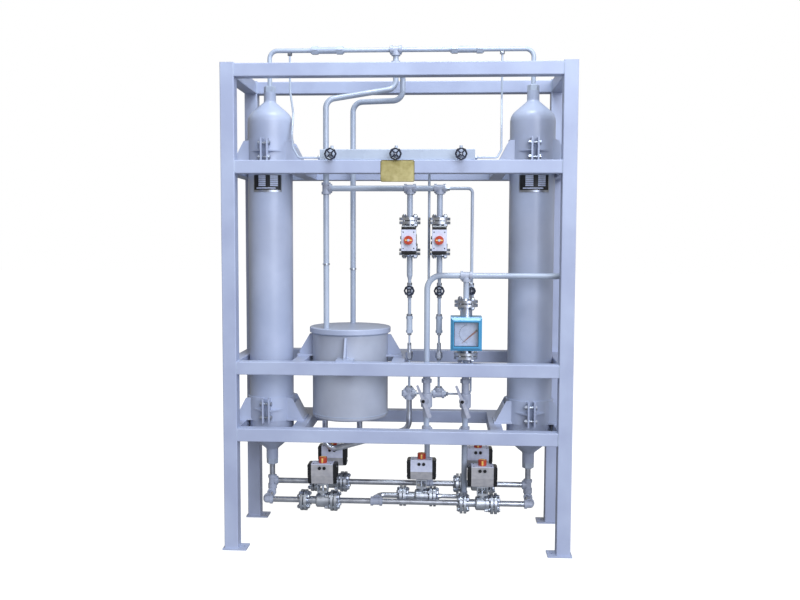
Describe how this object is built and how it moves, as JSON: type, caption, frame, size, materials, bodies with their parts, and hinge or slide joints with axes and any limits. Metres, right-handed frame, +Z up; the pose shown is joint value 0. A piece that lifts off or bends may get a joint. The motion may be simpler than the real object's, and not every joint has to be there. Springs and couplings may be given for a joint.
{
  "type": "heatless regenerative dryer",
  "caption": "Tall square-tube skid with two domed adsorber towers, a middle drum, piping with flanged actuated valves, lever valves and a flow meter.",
  "frame": {"origin": "on the floor, in the middle of the four anchor holes", "axes": "+Z up, +X to the right along the front, +Y from front to back"},
  "size_m": [2.02, 0.728, 2.957],
  "materials": {
    "black": "black",
    "bright_steel": "plated",
    "cast": "investment cast stainless",
    "desiccant": "granular white",
    "dial": "matt white-grey",
    "gasket": "graphite grey",
    "glass": "clear",
    "housing": "anodised",
    "meter_blue": "blue enamel",
    "orange": "orange-red",
    "paint": "satin lavender-grey paint",
    "pipe": "satin lavender-grey paint",
    "pointer": "black",
    "steel": "machined stainless",
    "tower_paint": "satin lavender-grey paint",
    "wheel": "blue-black enamel"
  },
  "bodies": {
    "skid": {"actuator_brackets": "cast", "actuator_end_caps": "black", "actuator_housings": "housing", "ball_valve_bodies": "cast", "ball_valve_tailpieces": "cast", "bed_screens": "cast", "bottom_line_pipes": "pipe", "check_valve_bodies": "bright_steel", "clamp_bolts": "bright_steel", "column_tubes": "pipe", "desiccant_beds": "desiccant", "drum_feet": "tower_paint", "drum_lid": "tower_paint", "drum_pipes": "pipe", "drum_shell": "tower_paint", "flange_gaskets": "gasket", "foot_plates": "paint", "forged_fittings": "steel", "instrument_tubes": "pipe", "lever_valve_bodies": "steel", "link_pipes": "pipe", "lower_rails": "paint", "manifold_bar": "pipe", "meter_case": "meter_blue", "meter_dial": "dial", "meter_tube": "steel", "meter_window": "glass", "middle_rails": "paint", "neck_plugs": "steel", "needle_valve_bodies": "bright_steel", "outlet_pipes": "pipe", "pipe_flanges": "steel", "pipe_unions": "steel", "posts": "paint", "purge_pipes": "pipe", "sloping_pipe": "pipe", "top_header_pipes": "pipe", "top_rails": "paint", "tower_clamps": "tower_paint", "tower_left": "tower_paint", "tower_right": "tower_paint", "tube_fittings": "bright_steel", "upper_rails": "paint"},
    "rotor_front_left": {"valve_rotor_front_left": "orange"},
    "rotor_front_right": {"valve_rotor_front_right": "orange"},
    "rotor_centre": {"valve_rotor_centre": "orange"},
    "rotor_rear_left": {"valve_rotor_rear_left": "orange"},
    "rotor_rear_right": {"valve_rotor_rear_right": "orange"},
    "rotor_column_a": {"valve_rotor_column_a": "orange"},
    "rotor_column_b": {"valve_rotor_column_b": "orange"},
    "handle_left": {"lever_left": "steel"},
    "handle_right": {"lever_right": "steel"},
    "wheel_column_a": {"handwheel_column_a": "wheel"},
    "wheel_column_b": {"handwheel_column_b": "wheel"},
    "wheel_bypass": {"handwheel_bypass": "wheel"},
    "wheel_manifold_left": {"handwheel_manifold_left": "wheel"},
    "wheel_manifold_middle": {"handwheel_manifold_middle": "wheel"},
    "wheel_manifold_right": {"handwheel_manifold_right": "wheel"},
    "pointer": {"meter_pointer": "pointer"}
  },
  "joints": [
    {"name": "turn_valve_front_left", "type": "hinge", "parent": "skid", "child": "rotor_front_left", "pos_m": [-0.446, -0.166, 0.254], "axis": [0, 0, 1], "range_deg": [0, 90]},
    {"name": "turn_valve_front_right", "type": "hinge", "parent": "skid", "child": "rotor_front_right", "pos_m": [0.501, -0.166, 0.254], "axis": [0, 0, 1], "range_deg": [0, 90]},
    {"name": "turn_valve_centre", "type": "hinge", "parent": "skid", "child": "rotor_centre", "pos_m": [0.14, -0.083, 0.267], "axis": [0, 0, 1], "range_deg": [0, 90]},
    {"name": "turn_valve_rear_left", "type": "hinge", "parent": "skid", "child": "rotor_rear_left", "pos_m": [-0.408, 0, 0.322], "axis": [0, 0, 1], "range_deg": [0, 90]},
    {"name": "turn_valve_rear_right", "type": "hinge", "parent": "skid", "child": "rotor_rear_right", "pos_m": [0.48, 0, 0.322], "axis": [0, 0, 1], "range_deg": [0, 90]},
    {"name": "turn_valve_column_a", "type": "hinge", "parent": "skid", "child": "rotor_column_a", "pos_m": [0.066, -0.15, 1.806], "axis": [0, -1, 0], "range_deg": [0, 90]},
    {"name": "turn_valve_column_b", "type": "hinge", "parent": "skid", "child": "rotor_column_b", "pos_m": [0.24, -0.15, 1.806], "axis": [0, -1, 0], "range_deg": [0, 90]},
    {"name": "turn_lever_left", "type": "hinge", "parent": "skid", "child": "handle_left", "pos_m": [0.171, -0.22, 0.877], "axis": [-0.342, -0.9397, 0], "range_deg": [-24, 66]},
    {"name": "turn_lever_right", "type": "hinge", "parent": "skid", "child": "handle_right", "pos_m": [0.396, -0.22, 0.877], "axis": [-0.342, -0.9397, 0], "range_deg": [-24, 66]},
    {"name": "turn_wheel_column_a", "type": "hinge", "parent": "skid", "child": "wheel_column_a", "pos_m": [0.066, -0.15, 1.513], "axis": [0, -1, 0], "range_deg": [-720, 720]},
    {"name": "turn_wheel_column_b", "type": "hinge", "parent": "skid", "child": "wheel_column_b", "pos_m": [0.24, -0.15, 1.513], "axis": [0, -1, 0], "range_deg": [-720, 720]},
    {"name": "turn_wheel_bypass", "type": "hinge", "parent": "skid", "child": "wheel_bypass", "pos_m": [0.428, -0.15, 1.513], "axis": [0, -1, 0], "range_deg": [-720, 720]},
    {"name": "turn_wheel_manifold_left", "type": "hinge", "parent": "skid", "child": "wheel_manifold_left", "pos_m": [-0.37, -0.3, 2.285], "axis": [0, -1, 0], "range_deg": [-720, 720]},
    {"name": "turn_wheel_manifold_middle", "type": "hinge", "parent": "skid", "child": "wheel_manifold_middle", "pos_m": [-0.006, -0.3, 2.285], "axis": [0, -1, 0], "range_deg": [-720, 720]},
    {"name": "turn_wheel_manifold_right", "type": "hinge", "parent": "skid", "child": "wheel_manifold_right", "pos_m": [0.358, -0.3, 2.285], "axis": [0, -1, 0], "range_deg": [-720, 720]},
    {"name": "swing_pointer", "type": "hinge", "parent": "skid", "child": "pointer", "pos_m": [0.454, -0.3, 1.293], "axis": [0, 1, 0], "range_deg": [0, 64]}
  ]
}
